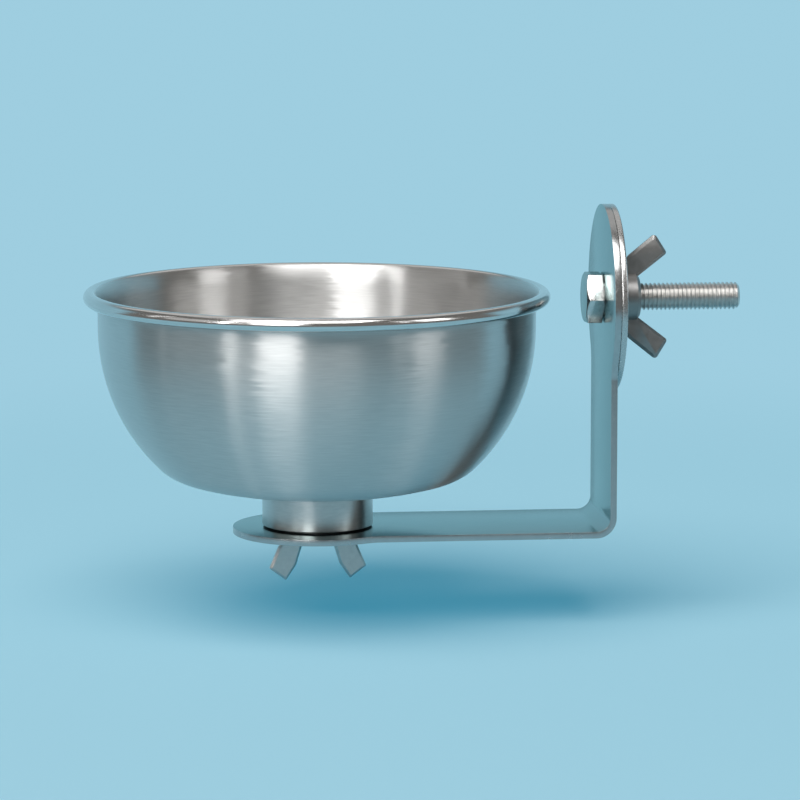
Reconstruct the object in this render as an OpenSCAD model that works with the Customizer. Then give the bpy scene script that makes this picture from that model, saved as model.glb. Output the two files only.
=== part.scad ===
// Seed cup for a bird cage. A spun steel bowl turns on the end of a bent arm, and a bolt with a large
// washer and a wing nut grips the cage wires. Millimetres.
// The origin is the middle of the arm's face that bears on the wires, +X points out through them, +Z is up.

/* [Bowl] */
// Outside diameter of the straight wall under the rim
bowl_d = 126; // [110:1:170]
// Height from the flat of the underside to the top of the rim
bowl_h = 58; // [48:1:80]
// Thickness of the sheet that the bowl is spun from
sheet = 0.8; // [0.5:0.1:1.2]
// Diameter of the rolled bead round the rim
bead_d = 4; // [3:0.1:6]
// How far the bead stands out from the wall
rim_overhang = 4.1; // [3.6:0.1:7]
// Height over which the wall leans out into the bead
flare_h = 3; // [2:0.5:6]
// Height of the straight wall, down from the top of the rim
straight_wall = 11; // [8:1:20]
// Radius of the corner between the side and the underside
corner_r = 16; // [10:1:22]
// Radius of the shallow curve of the underside
under_r = 80; // [70:1:110]
// Width of the flat that the collar is welded to
flat_d = 34; // [33:1:40]

/* [Collar and stud] */
// Diameter of the turned collar under the bowl
collar_d = 32; // [20:1:33]
// Height of the collar
collar_h = 11; // [9:1:20]
// Radius on the collar's lower edge
collar_edge_r = 0.4; // [0.2:0.1:1]
// Width of the relief turned round the collar's foot
foot_relief = 0.5; // [0.3:0.1:1.5]
// Depth of that relief
relief_depth = 2; // [0.5:0.5:4]
// Nominal diameter of the stud's thread
stud_d = 6; // [5:0.5:8]
// Depth of the stud in the collar
stud_grip = 8; // [5:0.5:8.5]
// Length of the stud past the nut
stud_end = 0.4; // [0.2:0.1:6]

/* [Bracket] */
// Distance from the face on the wires to the bowl's axis
reach = 84.5; // [78:0.5:140]
// Height of the bolt's axis above the arm's top face
drop = 65.5; // [50:0.5:110]
// Thickness of the plate
plate = 1.8; // [1.2:0.1:3]
// Width of the strip between its two round ends
strip_w = 40; // [20:1:46]
// Diameter of the round end under the bowl
arm_end_d = 49; // [48:1:60]
// Diameter of the round pad on the wires
pad_d = 54; // [48:1:64]
// Radius where a round end runs into the strip
neck_r = 10; // [4:1:16]
// Inside radius of the bend
bend_r = 4; // [2:0.5:8]

/* [Clamp bolt] */
// Nominal diameter of the bolt's thread
bolt_d = 8; // [6:0.5:10]
// Length of the bolt under its head
bolt_l = 40; // [25:1:60]
// Width of the head across its flats
head_af = 14; // [12:0.5:17]
// Height of the head with its bearing face
head_h = 5.3; // [4:0.1:7]
// Height of the round bearing face under the head
bearing_h = 0.4; // [0.2:0.1:0.8]
// Turn of the head on its axis, in degrees
head_turn = 30; // [0:5:55]

/* [Washers] */
// Diameter of the washer on the wires
grip_washer_d = 54; // [40:1:64]
// Thickness of the washer on the wires
grip_washer_t = 1.9; // [1:0.1:3]
// Diameter of the small washer under the arm
cup_washer_d = 12; // [11:0.5:18]
// Thickness of the small washer under the arm
cup_washer_t = 0.8; // [0.5:0.1:1.6]

/* [Wing nut on the bolt] */
// Diameter of its hub
grip_hub_d = 13.5; // [12.5:0.5:17]
// Height of its hub
grip_hub_h = 7; // [5:0.5:9]
// Distance between the sharp tips of its wings, before they are rounded
grip_span = 36.5; // [30:0.5:50]
// Height of the whole nut
grip_nut_h = 15.4; // [12:0.2:22]
// Thickness of its wings
grip_wing_t = 2.8; // [2:0.1:4]
// Turn of its wings from upright, in degrees
grip_nut_turn = 5; // [0:5:175]

/* [Wing nut under the arm] */
// Diameter of its hub
cup_hub_d = 10; // [9.5:0.5:13]
// Height of its hub
cup_hub_h = 2.4; // [2:0.1:6]
// Distance between the sharp tips of its wings, before they are rounded
cup_span = 28.5; // [24:0.5:40]
// Height of the whole nut
cup_nut_h = 13.2; // [9:0.2:18]
// Thickness of its wings
cup_wing_t = 2.2; // [1.6:0.1:3]
// Turn of its wings from the arm's line, in degrees
cup_nut_turn = 5; // [0:5:175]

/* [Fits] */
// Gap all round between a thread and its nut
thread_gap = 0.05; // [0.02:0.01:0.1]
// Gap all round between a thread and a plain hole
hole_gap = 0.1; // [0.05:0.05:0.3]

/* [Hidden] */
$fn = 144;

// How far a cutting shape runs past what it cuts
overrun = 1;

// The bowl's axis and the levels of what stands on it
cup_x = -reach;
arm_z = -drop;
under_z = arm_z + collar_h;
rim_z = under_z + bowl_h;

// The bowl's side is an arc from the straight wall, a little larger than the depth that it spans
side_r_share = 1.19;
wall_r = bowl_d / 2;
side_z = rim_z - straight_wall;
side_r = side_r_share * (side_z - under_z);
side_c = [wall_r - side_r, side_z];
under_c = [flat_d / 2, under_z + under_r];

// The corner arc touches the side arc and the underside's arc from inside
corner_c = meet(side_c, side_r - corner_r, under_c, under_r - corner_r);
side_a = atan2(corner_c[1] - side_c[1], corner_c[0] - side_c[0]);
under_a = atan2(corner_c[1] - under_c[1], corner_c[0] - under_c[0]);

// The bead, and the mouth that is left where the curl ends short of the wall
bead_c = [wall_r + rim_overhang - bead_d / 2, rim_z - bead_d / 2];
bead_mouth = [182, 248];

// Round faces of the bolt's head across its flats, and the slope of its turned corners in degrees
head_face_share = 0.95;
head_slope = 30;

// Chamfers
thread_chamfer_share = 0.12;
hub_chamfer_share = 0.07;
wing_chamfer_share = 0.3;
wing_corner_share = 0.05;

// Wing outlines: across as a share of half the span, up as a share of the nut's height
grip_wing_shares = [[0.26, 0.03], [0.40, 0.02], [0.66, 0.27], [1, 0.77], [0.69, 1], [0.26, 0.34]];
cup_wing_shares = [[0.26, 0.02], [0.62, 0.02], [0.81, 0.25], [1, 0.73], [0.66, 1], [0.45, 0.66], [0.30, 0.16]];

// The crossing on the right of two circles
function meet(c1, r1, c2, r2) =
    let(d = norm(c2 - c1), u = (c2 - c1) / d, a = (r1 * r1 - r2 * r2 + d * d) / (2 * d))
    c1 + a * u + sqrt(r1 * r1 - a * a) * [u[1], -u[0]];

// A point at a distance and an angle from another
function polar(c, r, a) = c + r * [cos(a), sin(a)];

// Everything on the left of the line through two points
module left_of(p, q) {
    u = (q - p) / norm(q - p);
    far = 2 * bowl_d;
    out = far * [-u[1], u[0]];
    polygon([p - far * u, q + far * u, q + far * u + out, p - far * u + out]);
}

// What the bowl's outside encloses, drawn in by the inset all round. The whole corner disc lies inside
// the other two, which are cut off on the line between its touching points.
module bowl_fill(inset, top) {
    core = [flat_d / 2, top - under_z - inset];
    intersection() {
        union() {
            translate(corner_c) circle(corner_r - inset);
            intersection() {
                union() {
                    translate([0, under_z + inset]) square(core);
                    translate(side_c) circle(side_r - inset);
                    translate([0, side_z]) square([wall_r - inset, top - side_z]);
                }
                union() {
                    translate([0, under_z + inset]) square(core);
                    translate(under_c) circle(under_r - inset);
                }
                left_of(polar(under_c, under_r - inset, under_a), polar(side_c, side_r - inset, side_a));
            }
        }
        translate([0, under_z]) square([bowl_d, top - under_z]);
    }
}

// The rolled edge: the sheet leans out, goes over the top and curls back under itself
module rim_section() {
    lean_z = bead_c[1] - flare_h;
    edge_r = bead_c[0] - bead_d / 2;
    polygon([[wall_r - sheet, lean_z], [wall_r, lean_z],
             [edge_r + sheet, bead_c[1]], [edge_r, bead_c[1]]]);
    difference() {
        translate(bead_c) circle(d = bead_d);
        translate(bead_c) circle(d = bead_d - 2 * sheet);
        polygon([bead_c, polar(bead_c, bead_d, bead_mouth[0]), polar(bead_c, bead_d, bead_mouth[1])]);
    }
}

module bowl() {
    wall_top = bead_c[1] - flare_h;
    color("lightsteelblue")
    translate([cup_x, 0, 0])
    rotate_extrude() {
        difference() {
            bowl_fill(0, wall_top);
            bowl_fill(sheet, wall_top + overrun);
        }
        rim_section();
    }
}

// A turned collar, welded to the flat of the bowl and tapped for the stud
module collar() {
    edge_c = [collar_d / 2 - collar_edge_r, arm_z + foot_relief + collar_edge_r];
    color("silver")
    translate([cup_x, 0, 0])
    difference() {
        rotate_extrude() {
            translate([0, edge_c[1]]) square([collar_d / 2, under_z - edge_c[1]]);
            translate([0, arm_z + foot_relief]) square([edge_c[0], collar_edge_r]);
            translate(edge_c) circle(collar_edge_r);
            translate([0, arm_z]) square([collar_d / 2 - relief_depth, foot_relief]);
        }
        translate([0, 0, arm_z - overrun]) cylinder(d = stud_d + 2 * thread_gap, h = stud_grip + overrun);
    }
}

// A length of thread, drawn as a plain rod with a chamfer on each end that is free
module thread(d, l, foot_free = false) {
    c = thread_chamfer_share * d;
    foot = foot_free ? [[0, 0], [d / 2 - c, 0], [d / 2, c]] : [[0, 0], [d / 2, 0]];
    rotate_extrude() polygon(concat(foot, [[d / 2, l - c], [d / 2 - c, l], [0, l]]));
}

// A headless stud, screwed up into the collar
module cup_stud() {
    below = plate + cup_washer_t + cup_hub_h + stud_end;
    color("gainsboro")
    translate([cup_x, 0, arm_z + stud_grip])
    rotate([180, 0, 0])
    thread(stud_d, stud_grip + below, foot_free = true);
}

// One round end of the plate, centred on its hole, with the strip running off along X
module paddle(end_d, hole_d, l) {
    neck_y = strip_w / 2 + neck_r;
    neck_x = sqrt(pow(end_d / 2 + neck_r, 2) - pow(neck_y, 2));
    difference() {
        union() {
            circle(d = end_d);
            translate([0, -strip_w / 2]) square([l, strip_w]);
            for (side = [0, 1]) mirror([0, side]) difference() {
                polygon([[0, 0], [neck_x, 0], [neck_x, neck_y]]);
                translate([neck_x, neck_y]) circle(neck_r);
            }
        }
        circle(d = hole_d);
    }
}

// The bracket, cut from plate and bent once
module bracket() {
    bend_x = -plate - bend_r;
    color("lightslategray") {
        translate([cup_x, 0, arm_z - plate])
        linear_extrude(plate)
        paddle(arm_end_d, stud_d + 2 * hole_gap, bend_x - cup_x);
        translate([bend_x, 0, arm_z + bend_r])
        rotate([90, 90, 0])
        rotate_extrude(angle = 90)
        translate([bend_r, -strip_w / 2]) square([plate, strip_w]);
        translate([-plate, 0, 0])
        rotate([0, 90, 0])
        linear_extrude(plate)
        paddle(pad_d, bolt_d + 2 * hole_gap, drop - bend_r);
    }
}

module flat_washer(d, hole_d, t) {
    rotate_extrude() translate([hole_d / 2, 0]) square([(d - hole_d) / 2, t]);
}

module cup_washer() {
    color("silver")
    translate([cup_x, 0, arm_z - plate - cup_washer_t])
    flat_washer(cup_washer_d, stud_d + 2 * hole_gap, cup_washer_t);
}

// One wing of a nut, with its edges bevelled on both sides
module wing(shares, half_span, h, t) {
    bevel = wing_chamfer_share * t;
    outline = [for (s = shares) [s[0] * half_span, s[1] * h]];
    translate([0, t / 2, 0])
    rotate([90, 0, 0])
    hull() {
        translate([0, 0, bevel]) linear_extrude(t - 2 * bevel) rounded(outline, wing_corner_share * h, $fn = 24);
        linear_extrude(t) offset(delta = -bevel) rounded(outline, wing_corner_share * h, $fn = 24);
    }
}

// An outline with its corners rounded
module rounded(outline, r) {
    offset(r) offset(delta = -r) polygon(outline);
}

// A wing nut that stands on Z = 0, with its wings along X
module wing_nut(hub_d, hub_h, thread_d, shares, span, h, t) {
    c = hub_chamfer_share * hub_d;
    bore_d = thread_d + 2 * thread_gap;
    difference() {
        union() {
            rotate_extrude() polygon([[0, 0], [hub_d / 2, 0], [hub_d / 2, hub_h - c], [hub_d / 2 - c, hub_h], [0, hub_h]]);
            for (side = [0, 180]) rotate(side) wing(shares, span / 2, h, t);
        }
        translate([0, 0, -overrun]) cylinder(d = bore_d, h = h + 2 * overrun);
    }
}

module cup_wing_nut() {
    color("slategray")
    translate([cup_x, 0, arm_z - plate - cup_washer_t])
    rotate([180, 0, cup_nut_turn])
    wing_nut(cup_hub_d, cup_hub_h, stud_d, cup_wing_shares, cup_span, cup_nut_h, cup_wing_t);
}

// A hexagon head with its corners turned off at the top, standing on its bearing face
module hex_head(af, h, bearing) {
    corner_d = af / cos(30);
    face_r = head_face_share * af / 2;
    past_r = corner_d / 2 + overrun;
    slope_h = (past_r - face_r) * tan(head_slope);
    intersection() {
        union() {
            cylinder(r = face_r, h = bearing);
            translate([0, 0, bearing]) rotate(head_turn) cylinder(d = corner_d, h = h - bearing, $fn = 6);
        }
        rotate_extrude() polygon([[0, 0], [past_r, 0], [past_r, h - slope_h], [face_r, h], [0, h]]);
    }
}

// A hexagon bolt through the pad, threaded all the way, head on the bowl's side
module clamp_bolt() {
    color("gainsboro")
    translate([-plate, 0, 0]) {
        rotate([0, -90, 0]) hex_head(head_af, head_h, bearing_h);
        rotate([0, 90, 0]) thread(bolt_d, bolt_l);
    }
}

module clamp_washer() {
    color("slategray")
    rotate([0, 90, 0])
    flat_washer(grip_washer_d, bolt_d + 2 * hole_gap, grip_washer_t);
}

module clamp_wing_nut() {
    color("dimgray")
    translate([grip_washer_t, 0, 0])
    rotate([0, 90, 0])
    rotate(-grip_nut_turn)
    wing_nut(grip_hub_d, grip_hub_h, bolt_d, grip_wing_shares, grip_span, grip_nut_h, grip_wing_t);
}

bowl();
collar();
cup_stud();
bracket();
cup_washer();
cup_wing_nut();
clamp_bolt();
clamp_washer();
clamp_wing_nut();
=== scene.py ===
import math

import bpy
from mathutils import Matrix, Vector


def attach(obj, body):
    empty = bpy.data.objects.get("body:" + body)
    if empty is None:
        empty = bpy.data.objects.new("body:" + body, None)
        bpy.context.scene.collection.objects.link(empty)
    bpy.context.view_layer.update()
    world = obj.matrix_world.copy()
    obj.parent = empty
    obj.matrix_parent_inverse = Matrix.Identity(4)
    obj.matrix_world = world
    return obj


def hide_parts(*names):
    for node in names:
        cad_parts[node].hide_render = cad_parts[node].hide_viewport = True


# A seed cup for a bird cage: a spun steel bowl turns on the end of a bent steel arm, and a bolt, a large
# washer and a wing nut grip the cage wires. The origin is the middle of the arm's face on the wires.
# X points out through the wires and Z is up. The bowl's axis stands at x = -reach.
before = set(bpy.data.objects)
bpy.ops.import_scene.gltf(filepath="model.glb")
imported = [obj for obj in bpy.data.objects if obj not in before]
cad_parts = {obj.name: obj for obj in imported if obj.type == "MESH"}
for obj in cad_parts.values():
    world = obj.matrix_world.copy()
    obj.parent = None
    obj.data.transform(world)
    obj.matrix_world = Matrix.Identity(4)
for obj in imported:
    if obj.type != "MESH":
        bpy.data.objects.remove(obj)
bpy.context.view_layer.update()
mm = 0.001
reach = 84.5 * mm
drop = 65.5 * mm


# Camera
# A long lens from the front, a little to the left and above: the bowl shows a narrow strip of its inside,
# and the arm shows its top face.
bpy.ops.object.select_all(action="DESELECT")
camera_place = Vector((-194.1, -1279.8, 162.9)) * mm
camera_target = Vector((-60.5, 0, -29.2)) * mm
bpy.ops.object.camera_add(location=camera_place)
camera = bpy.context.object
camera.rotation_euler = (camera_target - camera_place).to_track_quat("-Z", "Y").to_euler()
camera.data.lens = 202.5
camera.data.sensor_width = 36
bpy.context.scene.camera = camera
bpy.context.scene.view_settings.view_transform = "Standard"


# Studio
# A wide pale blue floor, which runs back until it fills the picture. Near the cup it takes the light and
# the shadow, and further off it fades into the even colour of the backdrop.
backdrop_blue = (0.345, 0.615, 0.745, 1)
paper_blue = (0.34, 0.445, 0.465, 1)
paper_glow = (0.003, 0.168, 0.272, 1)
room_grey = (0.195, 0.188, 0.178, 1)
floor_level = -93 * mm
floor_reach = 14
lit_radius = 0.26
even_radius = 0.55


def turn_right(nodes, links, sides):
    """How far a direction points to the back of the studio, where the paper reaches further on the right."""
    right = nodes.new("ShaderNodeMath")
    right.operation = "MULTIPLY"
    right.use_clamp = True
    right.inputs[1].default_value = 0.35
    back = nodes.new("ShaderNodeMath")
    back.operation = "ADD"
    links.new(sides.outputs["X"], right.inputs[0])
    links.new(right.outputs["Value"], back.inputs[0])
    links.new(sides.outputs["Y"], back.inputs[1])
    return back.outputs["Value"]


bpy.ops.mesh.primitive_plane_add(size=2 * floor_reach, location=(0, 0, floor_level))
floor = bpy.context.object
floor.name = "floor"
bpy.ops.object.transform_apply(location=True)
paper = bpy.data.materials.new("blue_paper")
paper.use_nodes = True
nodes, links = paper.node_tree.nodes, paper.node_tree.links
matt = nodes["Principled BSDF"]
matt.inputs["Base Color"].default_value = paper_blue
matt.inputs["Roughness"].default_value = 0.9
matt.inputs["Specular IOR Level"].default_value = 0.1
matt.inputs["Emission Color"].default_value = paper_glow
matt.inputs["Emission Strength"].default_value = 1
even = nodes.new("ShaderNodeEmission")
even.inputs["Color"].default_value = backdrop_blue
dim = nodes.new("ShaderNodeEmission")
dim.inputs["Color"].default_value = room_grey
place = nodes.new("ShaderNodeTexCoord")
centred = nodes.new("ShaderNodeMapping")
centred.inputs["Location"].default_value = (0.055, 0, 0)
distance = nodes.new("ShaderNodeVectorMath")
distance.operation = "LENGTH"
fade = nodes.new("ShaderNodeMapRange")
fade.interpolation_type = "SMOOTHSTEP"
fade.inputs["From Min"].default_value = lit_radius
fade.inputs["From Max"].default_value = even_radius
flat = nodes.new("ShaderNodeVectorMath")
flat.operation = "MULTIPLY"
flat.inputs[1].default_value = (1, 1, 0)
spread = nodes.new("ShaderNodeMixShader")
links.new(place.outputs["Object"], centred.inputs["Vector"])
links.new(centred.outputs["Vector"], flat.inputs[0])
links.new(flat.outputs["Vector"], distance.inputs[0])
links.new(distance.outputs["Value"], fade.inputs["Value"])
links.new(fade.outputs["Result"], spread.inputs[0])
links.new(matt.outputs[0], spread.inputs[1])
links.new(even.outputs[0], spread.inputs[2])
# The steel sees the paper end a little way off on the camera's side, where the dim room begins.
compass = nodes.new("ShaderNodeVectorMath")
compass.operation = "NORMALIZE"
sides = nodes.new("ShaderNodeSeparateXYZ")
front = nodes.new("ShaderNodeMapRange")
front.interpolation_type = "SMOOTHSTEP"
front.inputs["From Min"].default_value = 0.44
front.inputs["From Max"].default_value = 0.30
off = nodes.new("ShaderNodeMapRange")
off.interpolation_type = "SMOOTHSTEP"
off.inputs["From Min"].default_value = 0.34
off.inputs["From Max"].default_value = 0.46
both = nodes.new("ShaderNodeMath")
both.operation = "MULTIPLY"
ray = nodes.new("ShaderNodeLightPath")
ends = nodes.new("ShaderNodeMath")
ends.operation = "MULTIPLY"
mix = nodes.new("ShaderNodeMixShader")
links.new(flat.outputs["Vector"], compass.inputs[0])
links.new(compass.outputs["Vector"], sides.inputs["Vector"])
links.new(turn_right(nodes, links, sides), front.inputs["Value"])
links.new(distance.outputs["Value"], off.inputs["Value"])
links.new(front.outputs["Result"], both.inputs[0])
links.new(off.outputs["Result"], both.inputs[1])
links.new(both.outputs["Value"], ends.inputs[0])
links.new(ray.outputs["Is Glossy Ray"], ends.inputs[1])
links.new(ends.outputs["Value"], mix.inputs[0])
links.new(spread.outputs[0], mix.inputs[1])
links.new(dim.outputs[0], mix.inputs[2])
links.new(mix.outputs[0], nodes["Material Output"].inputs["Surface"])
floor.data.materials.append(paper)

# The room: the blue paper behind, and the dim, plain room on the camera's side, which the steel reflects.
world = bpy.data.worlds.new("room")
bpy.context.scene.world = world
world.use_nodes = True
nodes, links = world.node_tree.nodes, world.node_tree.links
sky = nodes["Background"]
direction = nodes.new("ShaderNodeTexCoord")
split = nodes.new("ShaderNodeSeparateXYZ")
behind = nodes.new("ShaderNodeMapRange")
behind.interpolation_type = "SMOOTHSTEP"
behind.inputs["From Min"].default_value = 0.30
behind.inputs["From Max"].default_value = 0.46
walls = nodes.new("ShaderNodeMix")
walls.data_type = "RGBA"
walls.inputs["A"].default_value = room_grey
walls.inputs["B"].default_value = backdrop_blue
ray = nodes.new("ShaderNodeLightPath")
seen = nodes.new("ShaderNodeMix")
seen.data_type = "RGBA"
seen.inputs["B"].default_value = backdrop_blue
links.new(direction.outputs["Generated"], split.inputs["Vector"])
low = nodes.new("ShaderNodeMapRange")
low.interpolation_type = "SMOOTHSTEP"
low.inputs["From Min"].default_value = 0.60
low.inputs["From Max"].default_value = 0.35
paper_part = nodes.new("ShaderNodeMath")
paper_part.operation = "MULTIPLY"
links.new(turn_right(nodes, links, split), behind.inputs["Value"])
links.new(split.outputs["Z"], low.inputs["Value"])
links.new(behind.outputs["Result"], paper_part.inputs[0])
links.new(low.outputs["Result"], paper_part.inputs[1])
links.new(paper_part.outputs["Value"], walls.inputs["Factor"])
links.new(walls.outputs["Result"], seen.inputs["A"])
links.new(ray.outputs["Is Camera Ray"], seen.inputs["Factor"])
links.new(seen.outputs["Result"], sky.inputs["Color"])

# The key box lights the paper. The other boxes are there for the steel alone: they stand round the front or
# hang overhead, with one wide, faint haze behind and one on the left. Each line: name, turn to the right of
# the front and height of its middle in degrees, width, height and distance in metres, light it gives off.
lamp_centre = Vector((-reach, 0, -20 * mm))
lamps = [
    ("key_box", -27, 57, 7.40, 7.40, 8.00, 4.1),
    ("overhead_box", -15, 61, 2.20, 1.50, 2.50, 5),
    ("broad_box", -25, 22, 1.15, 2.10, 3.00, 4.4),
    ("slim_box", -51, 22, 0.06, 2.10, 3.00, 20),
    ("back_haze", 180, 60, 3.00, 2.20, 2.50, 0.5),
    ("left_haze", -62, 20, 2.60, 1.80, 3.20, 0.42),
    ("side_strip", -93, 24, 0.14, 1.64, 3.00, 2),
    ("right_box", 56, 24, 0.83, 1.43, 3.00, 2.8),
    ("right_strip", 39, 24, 0.16, 1.43, 3.00, 2),
]
for name, turn, lift, width, height, away, light in lamps:
    a, e = math.radians(turn), math.radians(lift)
    out = Vector((math.sin(a) * math.cos(e), -math.cos(a) * math.cos(e), math.sin(e)))
    bpy.ops.object.light_add(type="AREA", location=lamp_centre + away * out)
    lamp = bpy.context.object
    lamp.name = name
    lamp.rotation_euler = (-out).to_track_quat("-Z", "Y").to_euler()
    lamp.data.shape = "RECTANGLE"
    lamp.data.size, lamp.data.size_y = width, height
    lamp.data.energy = light * math.pi * width * height
    lamp.visible_diffuse = name == "key_box"
    lamp.visible_glossy = name != "key_box"


# Bowl
# Spun from 0.8 mm steel sheet over a former, with its edge rolled outwards into a hollow bead. It is
# brushed round its axis inside and out, and the bead is polished.
def draw(name, points):
    """A chain of edges drawn from point to point, as the outline of a piece."""
    bpy.ops.object.select_all(action="DESELECT")
    bpy.ops.mesh.primitive_plane_add(size=mm, location=points[0])
    bpy.ops.object.transform_apply(location=True)
    bpy.ops.object.mode_set(mode="EDIT")
    bpy.ops.mesh.merge(type="CENTER")
    for here, there in zip(points, points[1:]):
        step = Vector(there) - Vector(here)
        bpy.ops.mesh.extrude_vertices_move(TRANSFORM_OT_translate={"value": step})
    bpy.ops.object.mode_set(mode="OBJECT")
    bpy.context.object.name = name
    return bpy.context.object


def turned(name, outline, axis_x=0, steps=96):
    """A turned or spun piece: an outline of (radius, height) points, spun round an upright axis."""
    piece = draw(name, [(axis_x + r, 0, z) for r, z in outline])
    along = piece.data.attributes.new("along", "FLOAT", "POINT")
    run = 0
    for i, vertex in enumerate(piece.data.vertices):
        run += (vertex.co - piece.data.vertices[max(i - 1, 0)].co).length
        along.data[i].value = run
    bpy.ops.object.mode_set(mode="EDIT")
    bpy.ops.mesh.select_all(action="SELECT")
    bpy.ops.mesh.spin(steps=steps, angle=2 * math.pi, center=(axis_x, 0, 0), axis=(0, 0, 1))
    bpy.ops.mesh.select_all(action="SELECT")
    bpy.ops.mesh.remove_doubles(threshold=0.002 * mm)
    bpy.ops.mesh.normals_make_consistent(inside=False)
    bpy.ops.object.mode_set(mode="OBJECT")
    return piece


def lay_grain(piece, axis_x):
    """A UV map whose first direction runs across the turning marks, for the steel's stretched gloss."""
    along = piece.data.attributes["along"].data
    layer = piece.data.uv_layers.new(name="grain")
    for face in piece.data.polygons:
        middle = math.atan2(face.center.y, face.center.x - axis_x)
        for corner in face.loop_indices:
            index = piece.data.loops[corner].vertex_index
            spot = piece.data.vertices[index].co
            turn = math.atan2(spot.y, spot.x - axis_x) - middle
            turn = (turn + math.pi) % (2 * math.pi) - math.pi
            layer.data[corner].uv = (along[index].value, (middle + turn) * reach)


def arc(centre, radius, first, last, steps):
    """Points on an arc between two angles in degrees."""
    angles = [math.radians(first + (last - first) * i / steps) for i in range(steps + 1)]
    return [(centre[0] + radius * math.cos(a), centre[1] + radius * math.sin(a)) for a in angles]


def steel(name, colour, gloss, uneven, turned_at=None, grain=(1, 1, 1), depth=0.001, stretch=0, sway=0,
          graze=1):
    """Bare steel with fine marks. gloss is its roughness and uneven how far that varies. grain says how
    closely the marks lie along X, Y and Z, in marks per metre, and depth how deep they are, in millimetres.
    On a turned piece they run round the axis at turned_at, stretch draws the gloss out across them, and sway
    turns each mark's reflection along the mark. graze dims the steel where it is seen nearly edge-on."""
    material = bpy.data.materials.new(name)
    material.use_nodes = True
    nodes, links = material.node_tree.nodes, material.node_tree.links
    metal = nodes["Principled BSDF"]
    metal.inputs["Metallic"].default_value = 1
    metal.inputs["Anisotropic"].default_value = stretch
    edge_on = (0.83 * graze, graze, graze, 1) if graze < 1 else (1, 1, 1, 1)
    metal.inputs["Specular Tint"].default_value = edge_on
    place = nodes.new("ShaderNodeTexCoord")
    centred = nodes.new("ShaderNodeMapping")
    links.new(place.outputs["Object"], centred.inputs["Vector"])
    spread = nodes.new("ShaderNodeVectorMath")
    spread.operation = "MULTIPLY"
    spread.inputs[1].default_value = grain
    if turned_at is None:
        links.new(centred.outputs["Vector"], spread.inputs[0])
    else:
        centred.inputs["Location"].default_value = (-turned_at, 0, 0)
        flat = nodes.new("ShaderNodeVectorMath")
        flat.operation = "MULTIPLY"
        flat.inputs[1].default_value = (1, 1, 0)
        round_axis = nodes.new("ShaderNodeVectorMath")
        round_axis.operation = "NORMALIZE"
        run = nodes.new("ShaderNodeAttribute")
        run.attribute_name = "along"
        lift = nodes.new("ShaderNodeCombineXYZ")
        both = nodes.new("ShaderNodeVectorMath")
        both.operation = "ADD"
        links.new(centred.outputs["Vector"], flat.inputs[0])
        links.new(flat.outputs["Vector"], round_axis.inputs[0])
        links.new(round_axis.outputs["Vector"], both.inputs[0])
        links.new(run.outputs["Fac"], lift.inputs["Z"])
        links.new(lift.outputs["Vector"], both.inputs[1])
        links.new(both.outputs["Vector"], spread.inputs[0])
        if stretch:
            tangent = nodes.new("ShaderNodeTangent")
            tangent.direction_type = "UV_MAP"
            tangent.uv_map = "grain"
            links.new(tangent.outputs["Tangent"], metal.inputs["Tangent"])
    marks = nodes.new("ShaderNodeTexNoise")
    marks.inputs["Scale"].default_value = 1
    marks.inputs["Detail"].default_value = 3
    links.new(spread.outputs["Vector"], marks.inputs["Vector"])
    clouds = nodes.new("ShaderNodeTexNoise")
    clouds.inputs["Scale"].default_value = 45
    clouds.inputs["Detail"].default_value = 2
    links.new(centred.outputs["Vector"], clouds.inputs["Vector"])
    blend = nodes.new("ShaderNodeMix")
    blend.inputs["Factor"].default_value = 0.35
    links.new(marks.outputs["Fac"], blend.inputs["A"])
    links.new(clouds.outputs["Fac"], blend.inputs["B"])
    rough = nodes.new("ShaderNodeMapRange")
    rough.inputs["From Min"].default_value = 0.3
    rough.inputs["From Max"].default_value = 0.7
    rough.inputs["To Min"].default_value = gloss - uneven
    rough.inputs["To Max"].default_value = gloss + uneven
    links.new(blend.outputs["Result"], rough.inputs["Value"])
    links.new(rough.outputs["Result"], metal.inputs["Roughness"])
    tint = nodes.new("ShaderNodeMix")
    tint.data_type = "RGBA"
    tint.inputs["A"].default_value = [0.83 * c for c in colour] + [1]
    tint.inputs["B"].default_value = [1.14 * c for c in colour] + [1]
    links.new(marks.outputs["Fac"], tint.inputs["Factor"])
    links.new(tint.outputs["Result"], metal.inputs["Base Color"])
    bump = nodes.new("ShaderNodeBump")
    bump.inputs["Strength"].default_value = 1
    bump.inputs["Distance"].default_value = depth * mm
    links.new(marks.outputs["Fac"], bump.inputs["Height"])
    links.new(bump.outputs["Normal"], metal.inputs["Normal"])
    if sway:
        along_mark = nodes.new("ShaderNodeVectorMath")
        along_mark.operation = "CROSS_PRODUCT"
        along_mark.inputs[0].default_value = (0, 0, 1)
        share = nodes.new("ShaderNodeMapRange")
        share.clamp = False
        share.inputs["To Min"].default_value = -sway
        share.inputs["To Max"].default_value = sway
        push = nodes.new("ShaderNodeVectorMath")
        push.operation = "SCALE"
        turn = nodes.new("ShaderNodeVectorMath")
        turn.operation = "ADD"
        links.new(round_axis.outputs["Vector"], along_mark.inputs[1])
        links.new(marks.outputs["Fac"], share.inputs["Value"])
        links.new(along_mark.outputs["Vector"], push.inputs[0])
        links.new(share.outputs["Result"], push.inputs["Scale"])
        links.new(bump.outputs["Normal"], turn.inputs[0])
        links.new(push.outputs["Vector"], turn.inputs[1])
        links.new(turn.outputs["Vector"], metal.inputs["Normal"])
    return material


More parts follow.
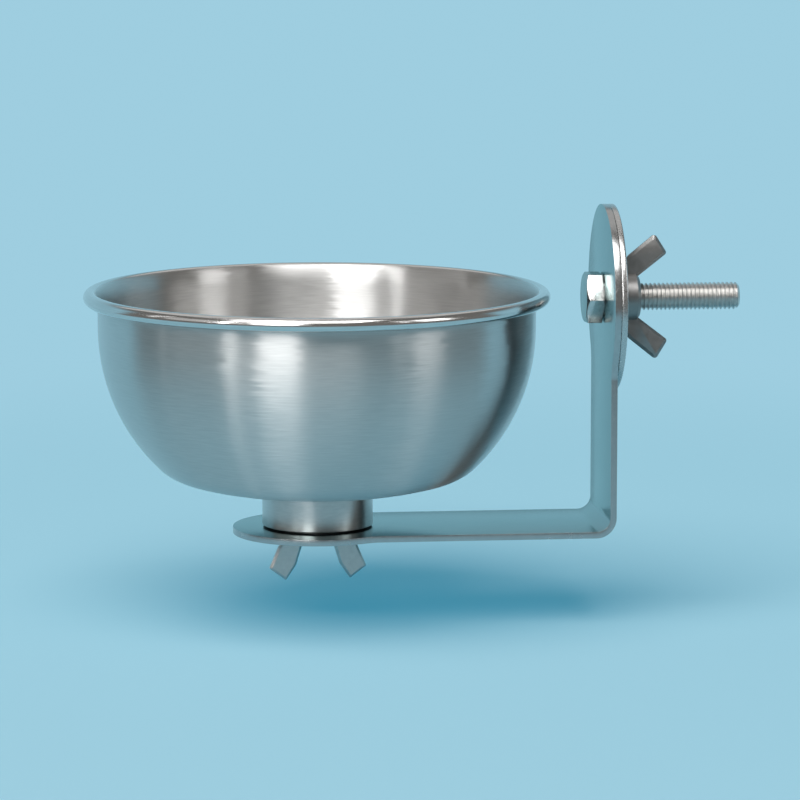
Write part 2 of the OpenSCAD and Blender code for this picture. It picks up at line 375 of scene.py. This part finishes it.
def finish_piece(piece, body, node, material, smooth=35):
    """Smooths a finished piece up to its sharp edges, and sets its steel, its body and the solid it shows."""
    bpy.ops.object.select_all(action="DESELECT")
    piece.select_set(True)
    bpy.context.view_layer.objects.active = piece
    bpy.ops.object.transform_apply(location=True, rotation=True, scale=True)
    bpy.ops.object.shade_smooth_by_angle(angle=math.radians(smooth))
    if material:
        piece.data.materials.append(material)
    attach(piece, body)
    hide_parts(node)


sheet = 0.8 * mm
wall_r = 63 * mm
bowl_h = 58 * mm
straight_wall = 11 * mm
side_r_share = 1.19
corner_r = 16 * mm
under_r = 80 * mm
flat_r = 17 * mm
bead_r = 2 * mm
rim_overhang = 4.1 * mm
lean_h = 4 * mm
lean_turn = math.radians(155)
mouth = 248
arm_top = -drop
collar_h = 11 * mm
under_z = arm_top + collar_h
rim_z = under_z + bowl_h
side_z = rim_z - straight_wall
side_r = side_r_share * (side_z - under_z)
bead_c = (wall_r + rim_overhang - bead_r, rim_z - bead_r)
lean_z = bead_c[1] - lean_h

side_c = Vector((wall_r - side_r, side_z))
under_c = Vector((flat_r, under_z + under_r))
gap = under_c - side_c
from_side = ((side_r - corner_r) ** 2 - (under_r - corner_r) ** 2 + gap.length_squared) / (2 * gap.length)
off_line = math.sqrt((side_r - corner_r) ** 2 - from_side ** 2)
along_gap = gap.normalized()
corner_c = side_c + from_side * along_gap + off_line * Vector((along_gap.y, -along_gap.x))
side_turn = math.degrees(math.atan2(corner_c.y - side_c.y, corner_c.x - side_c.x))
under_turn = math.degrees(math.atan2(corner_c.y - under_c.y, corner_c.x - under_c.x))


def bowl_side(inset):
    """One face of the sheet from the middle of the floor up to where the wall starts to lean out."""
    line = [(0, under_z + inset), (flat_r * 0.6, under_z + inset)]
    line += arc(under_c, under_r - inset, -90, under_turn, 6)
    line += arc(corner_c, corner_r - inset, under_turn, side_turn, 14)[1:]
    line += arc(side_c, side_r - inset, side_turn, 0, 14)[1:]
    line += [(wall_r - inset, side_z + share * (lean_z - side_z)) for share in (0.4, 0.8, 1)]
    return line


def lean(inset, curl_r):
    """The wall leans out until it runs smoothly into the curl of the bead."""
    first = Vector((wall_r - inset, lean_z))
    last = Vector(bead_c) + curl_r * Vector((math.cos(lean_turn), math.sin(lean_turn)))
    rise = (last.x - first.x) / math.tan(math.pi - lean_turn)
    bend = Vector((first.x, last.y - rise))
    shares = [i / 8 for i in range(1, 9)]
    return [tuple((1 - t) ** 2 * first + 2 * t * (1 - t) * bend + t * t * last) for t in shares]


start = math.degrees(lean_turn)
outside = bowl_side(0) + lean(0, bead_r - sheet)
curl_in = arc(bead_c, bead_r - sheet, start, mouth - 360, 20)[1:]
curl_out = arc(bead_c, bead_r, mouth - 360, start, 30)
inside = bowl_side(sheet) + lean(sheet, bead_r)
bowl = turned("spun_bowl", outside + curl_in + curl_out + inside[::-1][1:], -reach, 192)
lay_grain(bowl, -reach)
brushed = steel("brushed_steel", (0.58, 0.575, 0.565), 0.33, 0.04, turned_at=-reach,
                grain=(9, 9, 2500), stretch=1, sway=0.06)
polished = steel("polished_steel", (0.63, 0.625, 0.615), 0.16, 0.01, turned_at=-reach,
                 grain=(6, 6, 1500), depth=0.0002)
polished_from = wall_r + 0.9 * mm
finish_piece(bowl, "cup", "bowl", brushed, 40)
bowl.data.materials.append(polished)
for face in bowl.data.polygons:
    if math.hypot(face.center.x + reach, face.center.y) > polished_from:
        face.material_index = 1


# Collar
# A short boss turned from bar and welded under the middle of the bowl. It takes the stud in a blind hole,
# and its foot has a relief over a smaller face that rubs on the arm. The foot and the relief's underside are
# painted near black, as painted shade for the dark gap where the collar meets the arm.
collar_r = 16 * mm
collar_edge = 0.4 * mm
relief = 0.5 * mm
foot_r = collar_r - 2 * mm
stud_depth = 8 * mm
hole_r = 3.05 * mm
collar_line = [(0, arm_top + stud_depth), (hole_r, arm_top + stud_depth), (hole_r, arm_top)]
collar_line += [(foot_r, arm_top), (foot_r, arm_top + relief)]
collar_line += arc((collar_r - collar_edge, arm_top + relief + collar_edge), collar_edge, -90, 0, 5)
collar_line += [(collar_r, under_z - 0.5 * mm), (collar_r, under_z), (0, under_z)]
collar = turned("turned_collar", collar_line, -reach, 128)
lay_grain(collar, -reach)
machined = steel("machined_steel", (0.55, 0.545, 0.535), 0.32, 0.03, turned_at=-reach,
                 grain=(6, 6, 1600), stretch=0.6, sway=0.04)
painted_foot_shade = steel("painted_shade_steel", (0.10, 0.10, 0.10), 0.50, 0.03)
finish_piece(collar, "cup", "collar", machined)
# The foot's faces get a near-black steel: painted shade for the dark gap under the collar.
collar.data.materials.append(painted_foot_shade)
for face in collar.data.polygons:
    if face.center.z < arm_top + 0.2 * collar_edge + relief:
        face.material_index = 1


# Stud
# A headless M6 stud of 1 mm pitch, screwed up into the collar. It goes down through the arm, the small
# washer and the lower wing nut, and its end shows in the nut.
def threaded(name, size, pitch, length, chamfer_foot):
    """A rod with a real screw thread, standing on Z = 0, with its free ends chamfered."""
    depth = 0.5 * pitch
    crest, root = size / 2, size / 2 - depth
    middle = (crest + root) / 2
    tooth = [(root, 0), (root + 0.1 * depth, 0.12), (middle, 0.27), (crest - 0.1 * depth, 0.42), (crest, 0.5),
             (crest - 0.1 * depth, 0.58), (middle, 0.73), (root + 0.1 * depth, 0.88), (root, 1)]
    rod = draw(name, [(r, 0, share * pitch - 2 * pitch) for r, share in tooth])
    helix = rod.modifiers.new("helix", "SCREW")
    helix.screw_offset = pitch
    helix.iterations = math.ceil(length / pitch) + 4
    helix.steps = helix.render_steps = 40
    helix.use_merge_vertices = False
    bpy.ops.object.modifier_apply(modifier=helix.name)
    bpy.ops.object.mode_set(mode="EDIT")
    bpy.ops.mesh.select_all(action="SELECT")
    bpy.ops.mesh.remove_doubles(threshold=0.01 * mm)
    bpy.ops.mesh.select_all(action="DESELECT")
    bpy.ops.mesh.select_non_manifold()
    bpy.ops.mesh.edge_face_add()
    bpy.ops.mesh.select_all(action="SELECT")
    bpy.ops.mesh.normals_make_consistent(inside=False)
    bpy.ops.object.mode_set(mode="OBJECT")
    over, point = 0.05 * mm, 0.12 * size
    foot = [(crest + over - point, 0), (crest + over, point)] if chamfer_foot else [(crest + over, 0)]
    top = [(crest + over, length - point), (crest + over - point, length), (0, length)]
    blank = turned("blank", [(0, 0)] + foot + top)
    combine(rod, blank, "INTERSECT")
    # The slivers that the crossing leaves are merged, closed and cleared away.
    bpy.ops.object.mode_set(mode="EDIT")
    bpy.ops.mesh.select_all(action="SELECT")
    bpy.ops.mesh.remove_doubles(threshold=0.004 * mm)
    bpy.ops.mesh.select_all(action="DESELECT")
    bpy.ops.mesh.select_non_manifold()
    bpy.ops.mesh.fill_holes(sides=8)
    bpy.ops.mesh.select_all(action="SELECT")
    bpy.ops.mesh.delete_loose()
    bpy.ops.object.mode_set(mode="OBJECT")
    return rod


def combine(piece, tool, how):
    """Cuts, joins or crosses a piece with another, which is used up."""
    cut = piece.modifiers.new(how.lower(), "BOOLEAN")
    cut.operation, cut.solver, cut.object = how, "EXACT", tool
    bpy.ops.object.select_all(action="DESELECT")
    bpy.context.view_layer.objects.active = piece
    piece.select_set(True)
    bpy.ops.object.modifier_apply(modifier=cut.name)
    bpy.data.objects.remove(tool)


plate = 1.8 * mm
cup_washer_t = 0.8 * mm
cup_hub_h = 2.4 * mm
stud_end = 0.4 * mm
stud_length = stud_depth + plate + cup_washer_t + cup_hub_h + stud_end
stud_d = 6 * mm
stud_pitch = 1 * mm
stud = threaded("screwed_stud", stud_d, stud_pitch, stud_length, True)
stud.rotation_euler = (math.pi, 0, 0)
stud.location = (-reach, 0, arm_top + stud_depth)
bolt_steel = steel("plated_bolt_steel", (0.60, 0.59, 0.575), 0.20, 0.04, grain=(900, 900, 900), depth=0.0008,
                   graze=0.7)
finish_piece(stud, "cup", "cup_stud", bolt_steel)


# Bracket
# One strip of 1.8 mm plate with two round ends, drilled in both, bent once between them and brushed along
# its length. The cut edges are lightly rounded.
strip_half = 20 * mm
pad_r = 27 * mm
arm_end_r = 24.5 * mm
neck_r = 10 * mm
bend_r = 4 * mm
bolt_hole_r = 4.1 * mm
stud_hole_r = 3.1 * mm
cap_start = 178.75
cap_steps = 50


def round_end(end_r):
    """Half widths of a round end and its neck, as (distance from the hole towards the strip, half width)."""
    neck_y = strip_half + neck_r
    neck_x = math.sqrt((end_r + neck_r) ** 2 - neck_y ** 2)
    meets = math.degrees(math.atan2(neck_y, neck_x))
    cap = [math.radians(cap_start - i * (cap_start - meets) / cap_steps) for i in range(cap_steps + 1)]
    line = [(end_r * math.cos(a), end_r * math.sin(a)) for a in cap]
    return line + arc((neck_x, neck_y), neck_r, 180 + meets, 270, 8)[1:]


bend_x = -plate - bend_r
bend_z = arm_top + bend_r
path = [(0, -d, w) for d, w in round_end(pad_r)]
path += [(bend_x + x, bend_z + z, strip_half) for x, z in arc((0, 0), bend_r + plate, 0, -90, 14)]
path += [(-reach + d, arm_top - plate, w) for d, w in reversed(round_end(arm_end_r))]

first_x, first_z, first_w = path[0]
bracket = draw("bent_bracket", [(first_x, -first_w, first_z), (first_x, first_w, first_z)])
bpy.ops.object.mode_set(mode="EDIT")
bpy.ops.mesh.select_all(action="SELECT")
for (x0, z0, w0), (x1, z1, w1) in zip(path, path[1:]):
    bpy.ops.mesh.extrude_edges_move(TRANSFORM_OT_translate={"value": (x1 - x0, 0, z1 - z0)})
    bpy.ops.transform.resize(value=(1, w1 / w0, 1), center_override=(x1, 0, z1))
bpy.ops.mesh.select_all(action="SELECT")
bpy.ops.mesh.normals_make_consistent(inside=False)
bpy.ops.object.mode_set(mode="OBJECT")
if bracket.data.polygons[10].normal.x < 0:
    bracket.data.flip_normals()
thick = bracket.modifiers.new("plate", "SOLIDIFY")
thick.thickness = plate
thick.offset = -1
thick.use_even_offset = True
bpy.ops.object.modifier_apply(modifier=thick.name)
bolt_hole = ((0, 0, 0), (0, math.pi / 2, 0), bolt_hole_r)
stud_hole = ((-reach, 0, arm_top), (0, 0, 0), stud_hole_r)
for centre, turn, radius in (bolt_hole, stud_hole):
    bpy.ops.object.select_all(action="DESELECT")
    bpy.ops.mesh.primitive_cylinder_add(vertices=64, radius=radius, depth=4 * plate, location=centre,
                                        rotation=turn)
    combine(bracket, bpy.context.object, "DIFFERENCE")


def soften(piece, width, segments=2, angle=40):
    """Rounds the sharp edges of a piece."""
    rounding = piece.modifiers.new("rounding", "BEVEL")
    rounding.width, rounding.segments = width, segments
    rounding.limit_method, rounding.angle_limit = "ANGLE", math.radians(angle)
    bpy.context.view_layer.objects.active = piece
    bpy.ops.object.modifier_apply(modifier=rounding.name)


soften(bracket, 0.45 * mm, 4)
satin = steel("satin_plate_steel", (0.42, 0.43, 0.43), 0.20, 0.04, grain=(60, 2600, 60), graze=0.86)
cut_edge = steel("cut_edge_steel", (0.43, 0.435, 0.435), 0.24, 0.05, grain=(500, 500, 500))
finish_piece(bracket, "bracket", "bracket", satin)
bracket.data.materials.append(cut_edge)
for face in bracket.data.polygons:
    spot, way = face.center, face.normal
    across = way.z if spot.x < bend_x else way.x if spot.z > bend_z else math.hypot(way.x, way.z)
    if abs(across) < 0.9:
        face.material_index = 1


# Small washer
# A plain stamped washer between the arm and the lower wing nut. It spreads the nut's pressure round the
# stud's hole, and goes down the stud with the nut.
def washer(name, outer_r, bore_r, foot, thickness, edge):
    """A flat ring that stands on a level, with its outer edges rounded."""
    top = foot + thickness
    line = [(bore_r, foot)] + arc((outer_r - edge, foot + edge), edge, -90, 0, 4)
    line += arc((outer_r - edge, top - edge), edge, 0, 90, 4) + [(bore_r, top), (bore_r, foot)]
    return turned(name, line, steps=144)


cup_washer_r = 6 * mm
cup_washer_edge = 0.15 * mm
small_washer = washer("small_washer", cup_washer_r, stud_hole_r, 0, cup_washer_t, cup_washer_edge)
small_washer.location = (-reach, 0, arm_top - plate - cup_washer_t)
disc_steel = steel("stamped_steel", (0.52, 0.52, 0.515), 0.28, 0.03, grain=(1800, 1800, 1800), depth=0.0005)
finish_piece(small_washer, "cup_washer", "cup_washer", disc_steel)


# Wing nuts
# Pressed nuts with a round hub, bored through, and two flat wings with bevelled edges that stand up and
# out from it. The lower one hangs upside down under the arm, and the larger one closes the grip.
def wing_nut(name, hub_r, hub_h, bore_r, shares, half_span, height, wing_t):
    """A wing nut that stands on Z = 0 with its wings along X. shares is a wing's outline, as shares of the
    half span and of the height."""
    cut = 0.14 * hub_r
    lead = 0.4 * mm
    nut = turned(name, [(bore_r + lead, 0), (hub_r, 0), (hub_r, hub_h - cut), (hub_r - cut, hub_h),
                        (bore_r + lead, hub_h), (bore_r, hub_h - lead), (bore_r, lead), (bore_r + lead, 0)])
    chamfer = 0.3 * wing_t
    flat_t = wing_t - 2 * chamfer
    for side in (1, -1):
        wing = draw("wing", [(side * x * half_span, -flat_t / 2, z * height) for x, z in shares])
        bpy.ops.object.mode_set(mode="EDIT")
        bpy.ops.mesh.select_all(action="SELECT")
        bpy.ops.mesh.edge_face_add()
        bpy.ops.mesh.select_all(action="SELECT")
        bpy.ops.mesh.extrude_region_move(TRANSFORM_OT_translate={"value": (0, flat_t, 0)})
        bpy.ops.mesh.select_all(action="SELECT")
        bpy.ops.mesh.normals_make_consistent(inside=False)
        bpy.ops.mesh.select_all(action="DESELECT")
        bpy.ops.mesh.select_mode(type="FACE")
        bpy.ops.object.mode_set(mode="OBJECT")
        for face in wing.data.polygons:
            face.select = abs(face.normal.y) > 0.9
        bpy.ops.object.mode_set(mode="EDIT")
        bpy.ops.mesh.inset(thickness=chamfer, depth=chamfer)
        bpy.ops.mesh.select_mode(type="VERT")
        bpy.ops.object.mode_set(mode="OBJECT")
        soften(wing, 0.05 * height, 4, 62)
        combine(nut, wing, "UNION")
    return nut


nut_turn = math.radians(5)
cup_hub_r = 5 * mm
cup_half_span = 14.25 * mm
cup_wing_h = 13.2 * mm
cup_wing_t = 2.2 * mm
cup_wing = [(0.24, 0.02), (0.62, 0.02), (0.81, 0.25), (1, 0.73), (0.66, 1), (0.45, 0.66), (0.30, 0.14)]
lower_nut = wing_nut("lower_wing_nut", cup_hub_r, cup_hub_h, hole_r, cup_wing, cup_half_span, cup_wing_h,
                     cup_wing_t)
lower_nut.rotation_euler = (math.pi, 0, nut_turn)
lower_nut.location = (-reach, 0, arm_top - plate - cup_washer_t)
nut_steel = steel("pressed_nut_steel", (0.52, 0.515, 0.505), 0.38, 0.05, grain=(700, 700, 700))
finish_piece(lower_nut, "cup_wing_nut", "cup_wing_nut", nut_steel)

grip_washer_t = 1.9 * mm
grip_hub_r = 6.75 * mm
grip_hub_h = 7 * mm
grip_bore_r = 4.05 * mm
grip_half_span = 18.25 * mm
grip_wing_h = 15.4 * mm
grip_wing_t = 2.8 * mm
grip_wing = [(0.26, 0.03), (0.40, 0.02), (0.66, 0.27), (1, 0.77), (0.69, 1), (0.26, 0.34)]
upper_nut = wing_nut("upper_wing_nut", grip_hub_r, grip_hub_h, grip_bore_r, grip_wing, grip_half_span,
                     grip_wing_h, grip_wing_t)
upper_nut.rotation_mode = "ZYX"
upper_nut.rotation_euler = (0, math.pi / 2, -nut_turn)
upper_nut.location = (grip_washer_t, 0, 0)
dull_nut_steel = steel("dull_nut_steel", (0.25, 0.248, 0.243), 0.42, 0.05, grain=(700, 700, 700))
finish_piece(upper_nut, "clamp_wing_nut", "clamp_wing_nut", dull_nut_steel)


# Grip washer
# A disc the size of the bracket's pad, which presses the cage wires against the pad. The upper wing nut
# pushes it along the bolt.
grip_washer_edge = 0.5 * mm
grip_washer = washer("grip_washer", pad_r, bolt_hole_r, 0, grip_washer_t, grip_washer_edge)
grip_washer.rotation_euler = (0, math.pi / 2, 0)
finish_piece(grip_washer, "clamp_washer", "clamp_washer", disc_steel)


# Bolt
# An M8 x 40 hexagon bolt of 1.25 mm pitch, threaded all the way. Its head bears on the pad from the bowl's
# side with a thin round face, and its outer corners are turned off.
head_af = 14 * mm
head_h = 5.3 * mm
bearing_h = 0.4 * mm
bolt_d = 8 * mm
bolt_pitch = 1.25 * mm
bolt_length = 40 * mm
in_head = 2 * mm
corner_half = head_af / 2 / math.cos(math.pi / 6)
face_r = 0.95 * head_af / 2
past_r = corner_half + 1 * mm
bpy.ops.object.select_all(action="DESELECT")
bpy.ops.mesh.primitive_cylinder_add(vertices=6, radius=corner_half, depth=head_h - bearing_h,
                                    location=(0, 0, -(head_h + bearing_h) / 2))
head = bpy.context.object
head.name = "head"
bpy.ops.object.transform_apply(location=True, rotation=True)
cone_h = (past_r - face_r) * math.tan(math.pi / 6)
cone = turned("cone", [(0, 0), (past_r, 0), (past_r, cone_h - head_h), (face_r, -head_h), (0, -head_h)])
combine(head, cone, "INTERSECT")
face_depth = 0.6 * mm
bearing_face = turned("bearing_face", [(0, 0), (face_r, 0), (face_r, -face_depth), (0, -face_depth)])
combine(head, bearing_face, "UNION")
soften(head, 0.12 * mm, 2, 25)
bolt = threaded("hex_bolt", bolt_d, bolt_pitch, bolt_length + in_head, False)
head.location = (0, 0, in_head)
combine(bolt, head, "UNION")
bolt.rotation_euler = (0, math.pi / 2, 0)
bolt.location = (-plate - in_head, 0, 0)
rolled = steel("rolled_thread_steel", (0.60, 0.59, 0.575), 0.32, 0.04, grain=(900, 900, 900), depth=0.0005)
finish_piece(bolt, "clamp_bolt", "clamp_bolt", bolt_steel)
bolt.data.materials.append(rolled)
for face in bolt.data.polygons:
    if face.center.x > 0:
        face.material_index = 1
